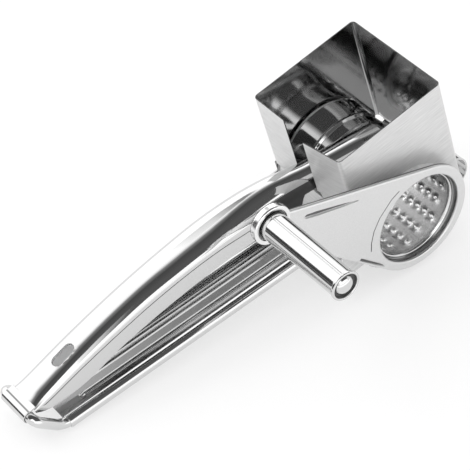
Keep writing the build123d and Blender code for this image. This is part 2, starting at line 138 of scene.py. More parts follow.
# Bearing rings of the drum
WALL_IN = BOX / 2 - SHEET
JOURNAL_R = 19.6
JOURNAL_END = -25.2
RIM_R = 20.1
RIM_BORE = 19.5
RIM_STOP = -27.85
RIM_SLOPE_IN = 0.4
RIM_SLOPE_OUT = 0.3
COLLAR_R = 20.4
COLLAR_FLANGE = 21.6
NEAR_SLEEVE = -27.5
NEAR_FLANGE_T = 0.5
FAR_FLANGE_T = 1.0
LOCK_R = 20.3
LOCK_NEAR = 26.25
LOCK_T = 0.9
LOCK_EDGE = 0.25
COLLAR_STEPS = 160
RUN_GAP = 0.08

# Crank
PLATE_Y = -31.0
PLATE_T = 0.9
PLATE_OUT = PLATE_Y - PLATE_T
PLATE_RIM = 0.7
PLATE_FOLD = 1.0
PLATE_SEEN = 0.85
MOUTH_R = 19.4
MOUTH_FOLD = 0.8
MOUTH_DEEPER = 0.1
RING_R = 23.4
BOSS_R = 8.1
CUP_WALL = 1.8
CUP_HIGH = 1.4
CUP_INSET = 0.1
CUP_SEAT = 0.2
CUP_SKIRT = 0.9
CUP_EDGE = 0.8
CUP_EDGE_STEPS = 6
ARM_DX = -59.2
ARM_DZ = 55.0
ARM_UPPER = 2.8
ARM_LOWER = 6.6
GROOVE_DEEP = 0.75
GROOVE_CUT = 0.6
# Reach of the painted shade on the crank's face, and its start on the skirt
GROOVE_CLEAR = 0.01
SKIRT_CLEAR = 0.05
GROOVE_TAPER = ((0.0, 0.2), (0.3, 0.8), (0.8, 1.2), (0.97, 1.0), (1.0, 0.4))
CREASE_DEEP = 0.35
CREASE_HALF = 0.2
CREASE_STEPS = 5
CREASE_ARC = ((104.0, 22.9), (115.0, 23.15), (135.0, 23.5), (149.0, 23.9), (162.0, 24.1), (172.0, 24.2))
CRANK_LEAN = atan2(ARM_DZ, ARM_DX)

# Grooves: side of the arm, its half width there, start, stop and inset, and share of width at the bottom
GROOVES = (
    (-1, ARM_UPPER, (36.0, 62.0, 4.7), 0.55),
    (1, ARM_LOWER, (3.5, 20.0, 1.5), 0.3),
)

# Knob
KNOB_X = AX_X + ARM_DX
KNOB_Z = AX_Z + ARM_DZ
KNOB_R = 5.6
KNOB_LIP = 0.4
LIP_LENGTH = 1.3
KNOB_T = 0.6
KNOB_START = -32.9
KNOB_END = -73.2
KNOB_SEAM = 88.0
SEAM_DEEP = 0.3
SEAM_HALF = 0.5
KNOB_EDGE = 0.45
KNOB_EDGE_STEPS = 5
KNOB_STEPS = 180
BUSH_LENGTH = 9.0
PIN_R = 1.6
PIN_SEAT = 0.9
PIN_DOME = ((0.0, 1.6), (0.9, 1.55), (1.9, 1.35), (2.8, 0.95), (3.4, 0.45), (3.7, 0.0))
PIN_TAIL = ((2.9, 0.0), (2.6, 0.6), (1.2, 0.9), (0.0, 0.9))
WASHER_T = 0.6
WASHER_GAP = 0.2
TAIL_WASHER_R = 4.4

# Lower handle
HINGE_X = -139.9
HINGE_Z = -26.7
WIRE_R = 2.1
WIRE_IN_TUBE = 36.0
BOW_CORNER = 3.2
BOW_BEND = 4.4
BOW_SWEEP = 9.0
BOW_LEG = 15.2
BOW_CORNER_STEPS = 10
BOW_SWEEP_STEPS = 16
SLANT = radians(54.0)
DROP = radians(5.9)
TUBE_Y = 10.2
TUBE_R = 2.6
TUBE_START = 0.3
TUBE_WRAP = radians(325.0)
ARM_LEN = 116.0
ARM_T = 0.6
RIB_Y = 2.7
RIB_R = 1.3
RIB_START = 13.0
RIB_SHORT = 8.0
RIB_TIP = 2.5
RIB_SINK = 0.3
RIB_BLEND = 0.5
RIB_END = 1.2
RIB_STEPS = 16
RIB_END_STEPS = 3
TRAY_T = 0.5
TRAY_CROWN = 0.8
TRAY_INSET = 0.3
TRAY_HALF = TUBE_Y - TRAY_INSET
KNEE = BOW_BEND * tan((SLANT - DROP) / 2)
TUBE_X = HINGE_X + BOW_LEG * cos(SLANT) + KNEE * cos(DROP)
TUBE_Z = HINGE_Z - BOW_LEG * sin(SLANT) - KNEE * sin(DROP)

# Cross plate, ears and shield at the front of the lower handle
CROSS_BACK = -16.5
CROSS_FRONT = -4.2
CROSS_Z = -53.7
CROSS_T = 0.9
EAR_Y = 25.0
EAR_T = 0.8
EAR_BACK = -6.0
EAR_FRONT = 1.4
EAR_TOP = -43.6
EAR_LOW = -57.6
EAR_STEP = 3.0
SHIELD_R = 22.6
SHIELD_T = 0.9
SHIELD_TOP = -40.0
SHIELD_GAP = 0.6
EAR_HOLES = {"top": (-1.2, -45.5), "low": (-0.5, -55.6)}
RIVET_R = 1.0
RIVET_HEAD = 1.6
HEAD_IN = 0.4
HEAD_SLOPE = 0.2
HEAD_DOME = ((0.0, 0.7), (0.7, 0.62), (1.25, 0.4), (RIVET_HEAD, 0.0))
RIVET_STEPS = 32

# Lever
LEVER_T = 0.9
LEVER_ROWS = 150
LEVER_DIGITS = 4
SIDE_STEP = 0.5
STEP_DROP = 0.1
ROLL_POWER = 2.2
NECK_POWER = 1.95
NECK_START = -46.0
NECK_RUN = 26.0
# Painted shade on the near side of the lever's neck: from this x forward, and below this share of the
# upper roll's depth under the top
NECK_SHADE = -24.0
NECK_SHADE_SHARE = 0.45
ROLL_SPAN = 12.0
SIDE_SPAN = 10.0
STEP_SPAN = 0.7
GAP_SPAN = 1.0
GAP_TOP = 0.6
GAP_LOW = 1.05
# Painted shade line under the roll: its start ahead of the lever's rear end, and how near a face must lie
# to the line
GAP_AHEAD = 4.0
GAP_TOUCH = 0.1
CURL_T = 0.45
CURL_GAP = 0.9
CURL_LAP = (0.8, 0.16)
CURL_LEAD = (1.6, -0.3)
CURL_LEAN = 0.2
HINGE_GAP = 0.13
HANG_X = -116.7
HANG_LEN = 10.2
HANG_WIDE = 4.8
HANG_CLEAR = (1.08, 1.12)
# Painted light inside the lever up to the first x, faded to painted shade by the second
LINING_BRIGHT_X = -108.0
LINING_DARK_X = -96.0
NECK_R = 12.2
NECK_X = 1.5
NECK_Z = -34.4
NECK_FRONT = 8.0
NECK_LOW = -38.0

# Lever stations: x, top, half width, depth of the upper roll, depth of the whole side
STATIONS = [
    (-137.0, -24.3, 7.35, 1.8, 3.2),
    (-133.5, -23.3, 7.35, 2.9, 6.6),
    (-128.0, -22.0, 7.4, 3.4, 9.4),
    (-121.0, -20.3, 7.45, 3.7, 11.6),
    (-113.0, -18.5, 7.5, 4.0, 12.9),
    (-98.0, -15.8, 7.6, 4.5, 12.6),
    (-80.0, -13.5, 7.7, 4.8, 13.2),
    (-62.0, -12.6, 8.0, 4.8, 13.3),
    (-48.0, -12.3, 8.3, 5.4, 13.7),
    (-36.0, -12.3, 8.4, 7.0, 14.5),
    (-26.0, -13.0, 8.2, 7.8, 15.0),
    (-16.0, -14.8, 7.5, 8.0, 15.0),
    (-8.0, -17.4, 6.7, 7.6, 14.5),
    (1.0, -20.4, 6.2, 6.5, 14.0),
    (12.0, -23.0, 6.0, 5.0, 13.0),
    (24.0, -25.6, 5.8, 3.8, 12.0),
    (33.5, -28.2, 5.6, 3.4, 11.0),
]

# Presser
PRESS_IN = 20.2
PRESS_T = 0.8
PRESS_HALF = 23.2
PRESS_FRONT = 32.0
PRESS_REAR = 149.0
PRESS_RIB_Y = 12.2
PRESS_RIB_HALF = 1.2
PRESS_RIB = 0.7
PRESS_CROWN = 0.35
PRESS_GROOVE = 0.3
PRESS_COLUMNS = 140

# Finishes: range, scale (1/mm) and detail of the noises, and shares of the roughness
NOISE_RANGE = (0.3, 0.7)
WAVE_DETAIL = 2.0
GLOSS_STRETCH = (0.5, 0.5, 0.5)
GLOSS_DETAIL = 4.0
GLOSS_LOW = 0.8
GLOSS_HIGH = 1.3
GRAIN_DETAIL = 6.0
GRAIN_LOW = 0.85
GRAIN_HIGH = 1.15
GRAIN_CONTRAST = 0.06
PLASTIC_STRETCH = (0.8, 0.8, 0.8)
PLASTIC_DETAIL = 3.0
PLASTIC_ROUGH = (0.4, 0.55)

# Floor and lamp (m, W)
FLOOR_HALF = 3.0
FLOOR_COLOUR = 0.92
FLOOR_ROUGH = 0.9
FLOOR_WHITE = 0.6
LAMP_SIZE = 0.9
LAMP_POWER = 6.0
LAMP_PLACE = (-0.7, 0.6, 1.2)

# Cards that only mirrors see: name, two opposite corners (m), and levels at places along an axis
CARDS = [
    ("overhead", (-2.5, -0.6, 1.5), (2.5, 1.0, 1.5), "Y",
     [(-0.6, 0.12), (0.2, 0.085), (0.55, 0.3), (0.85, 1.4), (1.0, 1.5)]),
    ("overhead_near", (-2.5, -2.0, 1.5), (2.5, -0.6, 1.5), "X",
     [(-2.5, 1.8), (-0.8, 1.8), (-0.4, 0.12), (2.5, 0.12)]),
    ("far_box", (-1.8, 1.9, 0.15), (1.8, 1.0, 1.6), "Z",
     [(0.0, 1.2), (0.3, 1.6), (1.5, 1.6)]),
    ("far_dark", (0.0, 0.85, 1.4), (0.62, 1.5, 1.1), "X",
     [(0.0, 1.5), (0.15, 0.85), (0.36, 0.36), (0.5, 0.36), (0.62, 1.5)]),
    ("left_dark", (-1.9, 0.3, 0.0), (-1.9, 2.3, 1.1), "Z",
     [(0.0, 0.9), (0.05, 0.07), (0.85, 0.07), (1.1, 1.2)]),
    ("left_floor", (-1.9, 0.06, 0.0006), (-0.2, 2.3, 0.0006), "X",
     [(-1.9, 0.08), (-0.3, 0.08), (-0.2, 1.0)]),
    ("right_dark", (1.9, 0.3, 0.0), (1.9, 2.3, 0.75), "Z",
     [(0.0, 0.3), (0.05, 0.06), (0.5, 0.06), (0.75, 1.2)]),
    ("near_box", (-1.8, -2.1, 0.1), (1.8, -2.05, 1.5), "Z",
     [(0.0, 1.2), (0.3, 1.6), (1.5, 1.6)]),
    ("near_floor", (-1.8, -1.7, 0.0005), (1.8, -0.2, 0.0005), "Y",
     [(-1.7, 1.6), (-0.3, 1.6), (-0.2, 1.0)]),
]


def joint_place(name):
    return next(Vector(joint["pos_m"]) for joint in frame["joints"] if joint["name"] == name)


def working_place():
    """Matrix from the working frame in mm to the row frame in m, found from two joints."""
    hinge = joint_place("lever_hinge")
    axis = joint_place("crank_spin")
    lean = atan2(axis.z - hinge.z, axis.x - hinge.x) - atan2(AX_Z - HINGE_Z, AX_X - HINGE_X)
    turn = Matrix.Rotation(-lean, 4, "Y") @ Matrix.Scale(MM, 4)
    return Matrix.Translation(hinge - turn @ Vector((HINGE_X, 0, HINGE_Z))) @ turn


PLACE = working_place()


def link(thing):
    bpy.context.scene.collection.objects.link(thing)


def add_camera():
    data = bpy.data.cameras.new("photo_camera")
    data.sensor_width = SENSOR
    data.lens = LENS
    data.clip_start = CLIP_START
    camera = bpy.data.objects.new("photo_camera", data)
    turn = Matrix.Rotation(radians(AZIMUTH), 4, "Z") @ Matrix.Rotation(radians(90 - ELEVATION), 4, "X")
    turn = turn @ Matrix.Rotation(radians(-ROLL), 4, "Z")
    camera.matrix_world = Matrix.Translation(AIM) @ turn @ Matrix.Translation((0, 0, DISTANCE))
    link(camera)
    bpy.context.scene.camera = camera


def new_node(tree, kind):
    return tree.nodes.new("ShaderNode" + kind)


def set_inputs(target, values):
    for name, value in values.items():
        target.inputs[name].default_value = value


def grey_material(name, colour, roughness, metallic=1.0):
    """Plain grey material and its nodes."""
    material = bpy.data.materials.new(name)
    material.use_nodes = True
    shader = material.node_tree.nodes["Principled BSDF"]
    grey = (colour, colour, colour, 1)
    set_inputs(shader, {"Base Color": grey, "Metallic": metallic, "Roughness": roughness})
    return material, material.node_tree, shader


def noise_on(tree, stretch, detail):
    """Noise in the working frame, stretched along its axes."""
    place = new_node(tree, "TexCoord")
    scale = new_node(tree, "Mapping")
    set_inputs(scale, {"Scale": stretch})
    noise = new_node(tree, "TexNoise")
    set_inputs(noise, {"Scale": 1.0, "Detail": detail})
    tree.links.new(place.outputs["Object"], scale.inputs["Vector"])
    tree.links.new(scale.outputs["Vector"], noise.inputs["Vector"])
    return noise.outputs["Fac"]


def spread_between(tree, value, start, stop, low, high):
    """Carries a value from one range to another."""
    spread = new_node(tree, "MapRange")
    set_inputs(spread, {"From Min": start, "From Max": stop, "To Min": low, "To Max": high})
    tree.links.new(value, spread.inputs["Value"])
    return spread.outputs["Result"]


def vary(tree, shader, socket, noise, low, high):
    """Lets a noise carry one of the shader's values between two levels."""
    tree.links.new(spread_between(tree, noise, *NOISE_RANGE, low, high), shader.inputs[socket])


def place_along(tree, axis):
    """Place along one axis of the piece's own frame."""
    place = new_node(tree, "TexCoord")
    parts = new_node(tree, "SeparateXYZ")
    tree.links.new(place.outputs["Object"], parts.inputs["Vector"])
    return parts.outputs[axis]


def bump_on(tree, shader, height, depth):
    relief = new_node(tree, "Bump")
    set_inputs(relief, {"Distance": depth})
    tree.links.new(height, relief.inputs["Height"])
    tree.links.new(relief.outputs["Normal"], shader.inputs["Normal"])


def polished_metal(name, colour, roughness, wave, depth):
    """Bright sheet with slow waves and a little unevenness of its gloss."""
    material, tree, shader = grey_material(name, colour, roughness)
    bump_on(tree, shader, noise_on(tree, (wave, wave, wave), WAVE_DETAIL), depth)
    spots = noise_on(tree, GLOSS_STRETCH, GLOSS_DETAIL)
    vary(tree, shader, "Roughness", spots, roughness * GLOSS_LOW, roughness * GLOSS_HIGH)
    return material


def satin_metal(name, colour, roughness, grain, depth, metallic=1.0, contrast=GRAIN_CONTRAST):
    """Brushed sheet with a fine grain."""
    material, tree, shader = grey_material(name, colour, roughness, metallic)
    lines = noise_on(tree, grain, GRAIN_DETAIL)
    bump_on(tree, shader, lines, depth)
    vary(tree, shader, "Roughness", lines, roughness * GRAIN_LOW, roughness * GRAIN_HIGH)
    vary(tree, shader, "Base Color", lines, colour * (1 - contrast), colour * (1 + contrast))
    return material


def lit_and_shaded_lining(name, bright, dark, roughness):
    """Inside of the lever, with painted light toward its rear end that fades to painted shade further in.
    """
    material, tree, shader = grey_material(name, dark, roughness)
    tint = spread_between(tree, place_along(tree, "X"), LINING_BRIGHT_X, LINING_DARK_X, bright, dark)
    tree.links.new(tint, shader.inputs["Base Color"])
    return material


def plastic(name, colour):
    """Dull plastic with an uneven gloss."""
    material, tree, shader = grey_material(name, colour, PLASTIC_ROUGH[0], 0.0)
    vary(tree, shader, "Roughness", noise_on(tree, PLASTIC_STRETCH, PLASTIC_DETAIL), *PLASTIC_ROUGH)
    return material


# Finishes, and materials that carry painted light and painted shade: colour, roughness, scale and depth of
# waves or grain, and for some the metallic and contrast
MIRROR = polished_metal("polished_sheet", 0.66, 0.08, 0.05, 4e-5)
INNER = polished_metal("inner_sheet", 0.46, 0.1, 0.05, 6e-5)
# Inside of the tray, a darker copy of the polished sheet as painted shade under the lever
TRAY_SHADED = polished_metal("tray_sheet_painted_shade", 0.45, 0.1, 0.05, 4e-5)
SATIN = satin_metal("satin_sheet", 0.68, 0.4, (0.12, 0.12, 2.2), 8e-6, 0.38, 0.12)
# Inside of the lever: painted light at its rear end, painted shade further in
LEVER_LINING_PAINTED = lit_and_shaded_lining("lever_lining_painted_light", 0.98, 0.45, 0.8)
# Painted shade for the fine line under the lever's roll and for the near side of its neck
LEVER_SHADE_PAINT = satin_metal("lever_painted_shade", 0.12, 0.4, (0.5, 0.5, 0.5), 1e-6)
# Painted shade for the crank's skirt, grooves and crease, and for the washer in its cup
CRANK_SHADE_PAINT = satin_metal("crank_painted_shade", 0.14, 0.4, (0.5, 0.5, 0.5), 1e-6)
CRANK = satin_metal("crank_sheet", 0.72, 0.36, (3.0, 3.0, 3.0), 3e-6)
# Back of the crank, a lighter copy of its face sheet as painted light
CRANK_BACK_LIT = satin_metal("crank_back_painted_light", 0.92, 0.5, (3.0, 3.0, 3.0), 3e-6)
DRUM = satin_metal("drum_steel", 0.75, 0.2, (1.5, 0.08, 1.5), 4e-6)
WIRE = polished_metal("polished_wire", 0.66, 0.06, 0.08, 2e-5)
EDGE = polished_metal("cut_edge", 0.85, 0.2, 0.2, 1e-5)
RIM = polished_metal("rim_edge", 0.15, 0.25, 0.2, 1e-5)
RING = polished_metal("rim_ring", 0.3, 0.2, 0.2, 1e-5)
BUSH = plastic("bush_plastic", 0.06)


def mesh_piece(name, verts, faces, body, nodes, materials):
    """Mesh object in the working frame that rides on a body and stands for CAD nodes."""
    mesh = bpy.data.meshes.new(name)
    mesh.from_pydata([tuple(v) for v in verts], [], faces)
    shape = bmesh.new()
    shape.from_mesh(mesh)
    bmesh.ops.remove_doubles(shape, verts=shape.verts, dist=WELD)
    loose = [v for v in shape.verts if not v.link_faces]
    bmesh.ops.delete(shape, geom=loose, context="VERTS")
    shape.to_mesh(mesh)
    shape.free()
    mesh.shade_smooth()
    piece = bpy.data.objects.new(name, mesh)
    for material in materials:
        mesh.materials.append(material)
    piece.matrix_world = PLACE
    link(piece)
    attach(piece, body)
    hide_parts(*nodes)
    return piece


def face_outward(piece):
    shape = bmesh.new()
    shape.from_mesh(piece.data)
    bmesh.ops.recalc_face_normals(shape, faces=shape.faces)
    shape.to_mesh(piece.data)
    shape.free()


def thicken(piece, thick, edge_round, even=True):
    """Gives a sheet its thickness inward, rounds its edges and evens its shading."""
    solid = piece.modifiers.new("thickness", "SOLIDIFY")
    solid.thickness = thick
    solid.offset = -1.0
    solid.use_even_offset = even
    if len(piece.data.materials) > 1:
        solid.material_offset = INSIDE_FINISH
        solid.material_offset_rim = EDGE_FINISH
    round_edges(piece, edge_round)


def round_edges(piece, width):
    bevel = piece.modifiers.new("round_edges", "BEVEL")
    bevel.width = width
    bevel.segments = EDGE_STEPS
    bevel.limit_method = "ANGLE"
    bevel.angle_limit = radians(EDGE_ANGLE)
    even = piece.modifiers.new("even_shading", "WEIGHTED_NORMAL")
    even.weight = EDGE_WEIGHT


def spaced(start, stop, steps):
    """Evenly spaced values."""
    return [start + (stop - start) * i / steps for i in range(steps + 1)]


def arc(x, z, radius, start, stop, steps):
    """Points on an arc between two angles."""
    return [(x + radius * cos(a), z + radius * sin(a)) for a in spaced(start, stop, steps)]


def clamp(value):
    return min(max(value, 0.0), 1.0)


def ease(t):
    """Soft step from 0 to 1."""
    return t * t * (3 - 2 * t)


def bump(t):
    """Soft hump between -1 and 1."""
    return cos(t * pi / 2) ** 2 if abs(t) < 1 else 0.0


def box_loop(x0, x1, y0, y1):
    return [(x0, y0), (x1, y0), (x1, y1), (x0, y1)]


def shifted(faces, base):
    """Faces whose points come after others."""
    return [tuple(base + i for i in face) for face in faces]


def solid_piece(name, verts, faces, body, node, slot, material, edge):
    """Closed mesh with rounded edges."""
    piece = mesh_piece(name, verts, faces, body, [node], [material])
    face_outward(piece)
    round_edges(piece, edge)


def grid_faces(rows, columns, flip=False, wrap=False):
    faces = []
    for i in range(rows - 1):
        for j in range(columns if wrap else columns - 1):
            k = (j + 1) % columns
            face = (i * columns + j, (i + 1) * columns + j, (i + 1) * columns + k, i * columns + k)
            faces.append(face[::-1] if flip else face)
    return faces


def rounded(points, radius, steps=FEW_STEPS):
    """Closed outline with its corners rounded."""
    loop = []
    count = len(points)
    for i in range(count):
        corner = Vector(points[i])
        before = Vector(points[i - 1]) - corner
        after = Vector(points[(i + 1) % count]) - corner
        near = before.normalized() * min(radius, before.length * CORNER_SHARE)
        far = after.normalized() * min(radius, after.length * CORNER_SHARE)
        for t in spaced(0.0, 1.0, steps):
            loop.append(tuple(corner + near * (1 - t) ** 2 + far * t ** 2))
    return loop


def turned(loop, x, z, steps, start=0.0, stop=360.0):
    """Closed outline of radius and y, turned about a line along y."""
    whole = stop - start >= 360.0
    rows = steps if whole else steps + 1
    verts = []
    for a in spaced(radians(start), radians(stop), steps)[:rows]:
        verts += [(x + r * cos(a), y, z + r * sin(a)) for r, y in loop]
    count = len(loop)
    faces = grid_faces(rows, count, wrap=True)
    if whole:
        last = (rows - 1) * count
        faces += [(last + j, j, (j + 1) % count, last + (j + 1) % count) for j in range(count)]
    else:
        faces.append(tuple(range(count)))
        faces.append(tuple(reversed(range((rows - 1) * count, rows * count))))
    return verts, faces


def turned_piece(name, loop, x, z, steps, body, material, sharp=SHARP_ANGLE):
    verts, faces = turned(loop, x, z, steps)
    piece = mesh_piece(name + "_visual", verts, faces, body, [name], [material])
    face_outward(piece)
    piece.data.set_sharp_from_angle(angle=radians(sharp))
    return piece


def inside(loop, point):
    """True for a flat point inside a closed outline."""
    x, y = point
    found = False
    for (ax, ay), (bx, by) in zip(loop, loop[1:] + loop[:1]):
        if (ay > y) != (by > y) and x < (bx - ax) * (y - ay) / (by - ay) + ax:
            found = not found
    return found


def within(outline, *holes):
    """Test for flat points inside an outline and outside its holes."""
    return lambda point: inside(outline, point) and not any(inside(hole, point) for hole in holes)


def triangles(loops, lines, spots, keep):
    """Flat triangles that keep to closed loops, lines and spots, where their middles are kept."""
    points = []
    edges = []
    for path, closed in [(loop, True) for loop in loops] + [(line, False) for line in lines]:
        first = len(points)
        points += [Vector(p) for p in path]
        edges += [(i, i + 1) for i in range(first, len(points) - 1)]
        if closed:
            edges.append((len(points) - 1, first))
    points += [Vector(p) for p in spots]
    made, _, faces = delaunay_2d_cdt(points, edges, [], 0, TOUCH)[:3]
    return made, [(a, b, c) for a, b, c in faces if keep((made[a] + made[b] + made[c]) / 3)]


def circle(x, z, radius, steps):
    return arc(x, z, radius, 0.0, 2 * pi, steps)[:-1]


# Path along the hopper's outside: the near wall starts at 0, after its flap, and the far half is mirrored
WALL_RUN = BOX - 2 * BEND
BEND_RUN = BEND * pi / 2
FRONT_START = WALL_RUN + BEND_RUN
FAR_START = FRONT_START + WALL_RUN + BEND_RUN
FAR_END = FAR_START + WALL_RUN
FLAP_LINE = -FLAP_DEPTH - PART_GAP / 2
FRONT_LINE = -FRONT_DEPTH - PART_GAP / 2


def rear_bend(flare):
    """Length of the bend between a side wall and its flap."""
    return BEND * (pi / 2 - flare)


def bend_point(x, y, run):
    """Point on a bend about x and y that starts on its near side, at a distance along it."""
    a = run / BEND - pi / 2
    return x + BEND * cos(a), y + BEND * sin(a)


def half_plan(s, z, flare):
    """Place in plan of a point of the near half of the hopper's outside."""
    hub = BEND - BOX / 2
    if s < 0 and z > FLAP_LINE:
        x, y = bend_point(BEND, hub, max(s, -rear_bend(flare)))
        d = max(-rear_bend(flare) - s, 0.0)
        return x - d * sin(flare), y + d * cos(flare)
    if s > WALL_RUN and z > FRONT_LINE:
        x, y = bend_point(BOX - BEND, hub, min(s - WALL_RUN, BEND_RUN))
        return x, y + max(s - FRONT_START, 0.0)
    return BEND + s, -BOX / 2


def hopper_point(s, z):
    """Place of a point of the hopper's outside, given along its path and in z."""
    if s < FAR_END / 2:
        return half_plan(s, z, FLAP_FLARE) + (z,)
    x, y = half_plan(FAR_END - s, z, 0.0)
    return x, -y, z


def half_outline(flare):
    """Half of the flat sheet's outline, from its flap round the foot of the wall to the front."""
    flap_end = -rear_bend(flare) - (BOX / 2 - BEND + BEND * sin(flare) - SLOT_HALF) / cos(flare)
    low_end = flap_end + (SLOT_LOW_HALF - SLOT_HALF) / cos(flare)
    flap_low = -FLAP_DEPTH
    wall_top = flap_low - PART_GAP
    front_low = FRONT_LINE - PART_GAP / 2
    rear = pi - asin((FOOT_TOP - AX_Z) / WALL_ROUND)
    front = 2 * pi + asin((front_low - AX_Z) / WALL_ROUND)
    loop = [(flap_end, 0.0), (flap_end, SLOT_STEP), (low_end, SLOT_STEP), (low_end, flap_low)]
    loop += [(0.0, flap_low), (0.0, wall_top), (-BEND, wall_top), (-BEND, FOOT_TOP)]
    loop += arc(AX_X - BEND, AX_Z, WALL_ROUND, rear, front, ROUND_STEPS)
    return loop + [(WALL_RUN, front_low), (WALL_RUN, -FRONT_DEPTH)]


def add_hopper():
    """Folded sheet of the hopper, cut flat and bent along its path."""
    outline = half_outline(FLAP_FLARE) + [(FAR_END - s, z) for s, z in reversed(half_outline(0.0))]
    near_hole = circle(AX_X - BEND, AX_Z, COLLAR_R, ROUND_STEPS)
    far_hole = circle(FAR_START + BOX - BEND - AX_X, AX_Z, COLLAR_R, ROUND_STEPS)
    bends = [(-rear_bend(FLAP_FLARE), 0.0, -FLAP_DEPTH), (WALL_RUN, FRONT_START, -FRONT_DEPTH),
             (FRONT_START + WALL_RUN, FAR_START, -FRONT_DEPTH), (FAR_END, FAR_END + BEND_RUN, -FLAP_DEPTH)]
    lines = []
    for start, stop, low in bends:
        lines += [[(s, 0.0), (s, low)] for s in spaced(start, stop, BEND_STEPS)]
    kept = within(outline, near_hole, far_hole)
    flat, faces = triangles([outline, near_hole, far_hole], lines, [], kept)
    verts = [hopper_point(s, z) for s, z in flat]
    sheet = [SATIN, INNER, RIM]
    piece = mesh_piece("hopper_visual", verts, faces, "frame", ["hopper_shell"], sheet)
    thicken(piece, SHEET_SEEN, THIN_EDGE)


def station_value(x, column):
    """Smooth curve through one column of the lever stations."""
    count = len(STATIONS)
    i = 0
    while i < count - 2 and x > STATIONS[i + 1][0]:
        i += 1

    def slope(k):
        low = max(k - 1, 0)
        high = min(k + 1, count - 1)
        return (STATIONS[high][column] - STATIONS[low][column]) / (STATIONS[high][0] - STATIONS[low][0])

    x0 = STATIONS[i][0]
    run = STATIONS[i + 1][0] - x0
    t = clamp((x - x0) / run)
    a = STATIONS[i][column]
    b = STATIONS[i + 1][column]
    return a + (b - a) * ease(t) + run * (slope(i) * t * (1 - t) ** 2 - slope(i + 1) * t * t * (1 - t))


def over_round(x, mid_x, mid_z, radius):
    """Height of a round about a line along y, or nothing where it doesn't reach."""
    gap = radius ** 2 - (x - mid_x) ** 2
    return mid_z + sqrt(gap) if gap > 0 else -inf


def lever_low(x):
    low = station_value(x, 1) - station_value(x, 4)
    low = max(low, over_round(x, NECK_X, NECK_Z, NECK_R))
    if x > NECK_FRONT:
        low = max(low, NECK_LOW)
    return max(low, over_round(x, AX_X, AX_Z, PRESS_IN + PRESS_T))


def roll_power(x):
    """Roundness of the lever's arch, which gets leaner toward the neck."""
    return ROLL_POWER + (NECK_POWER - ROLL_POWER) * ease(clamp((x - NECK_START) / NECK_RUN))


def lever_point(x, s):
    """Place of a point of the lever's outside, given along it and across it."""
    top = station_value(x, 1)
    w = station_value(x, 2)
    roll = station_value(x, 3)
    side = abs(s)
    if side <= ROLL_SPAN:
        a = pi / 2 * (1 - side / ROLL_SPAN)
        y = w * cos(a) ** (2 / roll_power(x))
        z = top - roll + roll * sin(a) ** (2 / roll_power(x))
    else:
        step = min((side - ROLL_SPAN) / STEP_SPAN, 1.0)
        y = w - SIDE_STEP * step
        gap = clamp((side - ROLL_SPAN - STEP_SPAN) / GAP_SPAN)
        share = max(side - ROLL_SPAN - STEP_SPAN - GAP_SPAN, 0.0) / (SIDE_SPAN - STEP_SPAN - GAP_SPAN)
        start = top - roll - STEP_DROP * step - gap * GAP_LOW
        z = start + (min(lever_low(x), start) - start) * share
    z = max(z, over_round(x, AX_X, AX_Z, PRESS_IN + PRESS_T))
    return x, copysign(y, s), z


def slot_outline():
    """Hanging slot, given along the lever and across it."""
    loop = []
    half = HANG_WIDE / 2
    reach = HANG_LEN / 2 - half
    for end, start in ((1, -pi / 2), (-1, pi / 2)):
        for a in spaced(start, start + pi, CURVE_STEPS):
            x = HANG_X + end * reach + half * cos(a)
            y = half * sin(a)
            share = (abs(y) / station_value(x, 2)) ** (ROLL_POWER / 2)
            s = ROLL_SPAN * (1 - 2 / pi * acos(share))
            loop.append((x, copysign(s, y)))
    return loop


def add_lever():
    """Arched channel of the lever with its hanging slot."""
    first = STATIONS[0][0]
    last = STATIONS[-1][0]
    side = ROLL_SPAN + SIDE_SPAN
    step_end = ROLL_SPAN + STEP_SPAN
    gap_start = step_end + GAP_SPAN * GAP_TOP / GAP_LOW
    gap_end = step_end + GAP_SPAN
    rows = spaced(first, last, LEVER_ROWS)
    across = spaced(0.0, ROLL_SPAN, LONG_STEPS) + [ROLL_SPAN + STEP_SPAN / 2, step_end, gap_start, gap_end]
    across += spaced(ROLL_SPAN, side, FEW_STEPS)[1:]
    columns = sorted({round(sign * s, LEVER_DIGITS) for s in across for sign in (-1, 1)})
    outline = [(x, -side) for x in rows] + [(last, s) for s in columns[1:-1]]
    outline += [(x, side) for x in reversed(rows)] + [(first, s) for s in reversed(columns[1:-1])]
    slot = slot_outline()
    wide = [(HANG_X + (x - HANG_X) * HANG_CLEAR[0], s * HANG_CLEAR[1]) for x, s in slot]
    spots = [(x, s) for x in rows[1:-1] for s in columns[1:-1] if not inside(wide, (x, s))]
    flat, faces = triangles([outline, slot], [], spots, within(outline, slot))
    verts = [lever_point(x, s) for x, s in flat]
    sheet = [MIRROR, LEVER_LINING_PAINTED, EDGE, LEVER_SHADE_PAINT]
    piece = mesh_piece("lever_visual", verts, faces, "lever", ["lever_shell"], sheet)
    paint_lever_shade(piece, (gap_start + gap_end) / 2)
    thicken(piece, LEVER_T, SOFT_EDGE, even=False)


def paint_lever_shade(piece, line):
    """Paints a fine line of shade under the roll, and paints shade on the near side of the neck for the
    crank's shaded back that it reflects.
    """
    rear = STATIONS[0][0] + GAP_AHEAD
    for face in piece.data.polygons:
        spot = face.center
        _, y, z = lever_point(spot.x, line)
        on_line = abs(abs(spot.y) - y) < GAP_TOUCH and abs(spot.z - z) < (GAP_LOW - GAP_TOP) / 2
        shade_top = station_value(spot.x, 1) - NECK_SHADE_SHARE * station_value(spot.x, 3)
        on_neck = NECK_SHADE < spot.x < 0 and spot.y < 0 and spot.z < shade_top
        if on_neck or on_line and rear < spot.x < NECK_X - NECK_R:
            face.material_index = PAINTED_SHADE


